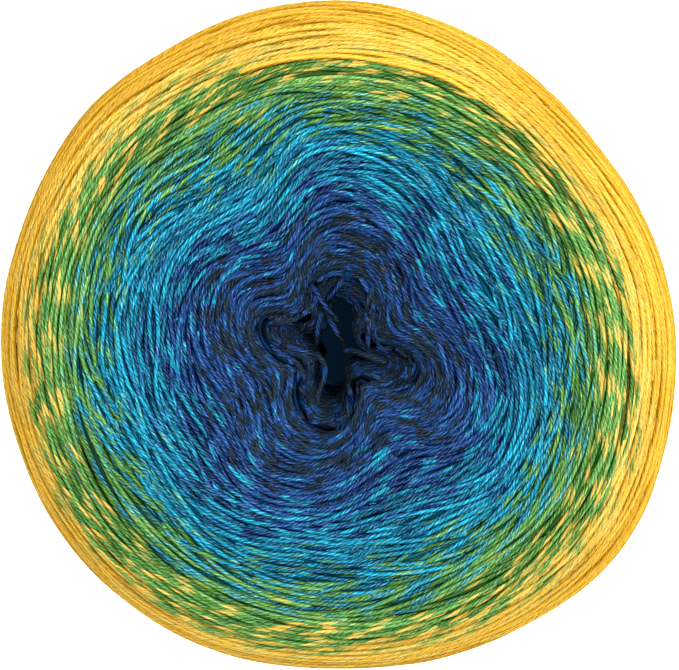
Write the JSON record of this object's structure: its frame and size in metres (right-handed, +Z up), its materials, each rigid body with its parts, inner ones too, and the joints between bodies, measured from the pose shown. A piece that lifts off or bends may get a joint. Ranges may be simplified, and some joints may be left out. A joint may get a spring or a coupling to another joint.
{
  "type": "yarn cake",
  "caption": "Wound cake of gradient yarn lying on its flat end, yellow outside through green and turquoise to navy, with a collapsed star-shaped shaft through the middle.",
  "frame": {"origin": "on the surface the cake rests on, under the middle of its box", "axes": "+Z up along the axis of the winding, out of the top face; +X and +Y lie along the surface"},
  "size_m": [0.1478, 0.1462, 0.0704],
  "materials": {
    "yarn": "soft plied yarn, dyed in a slow gradient"
  },
  "bodies": {
    "root": {"wound_yarn": "yarn"}
  },
  "joints": []
}
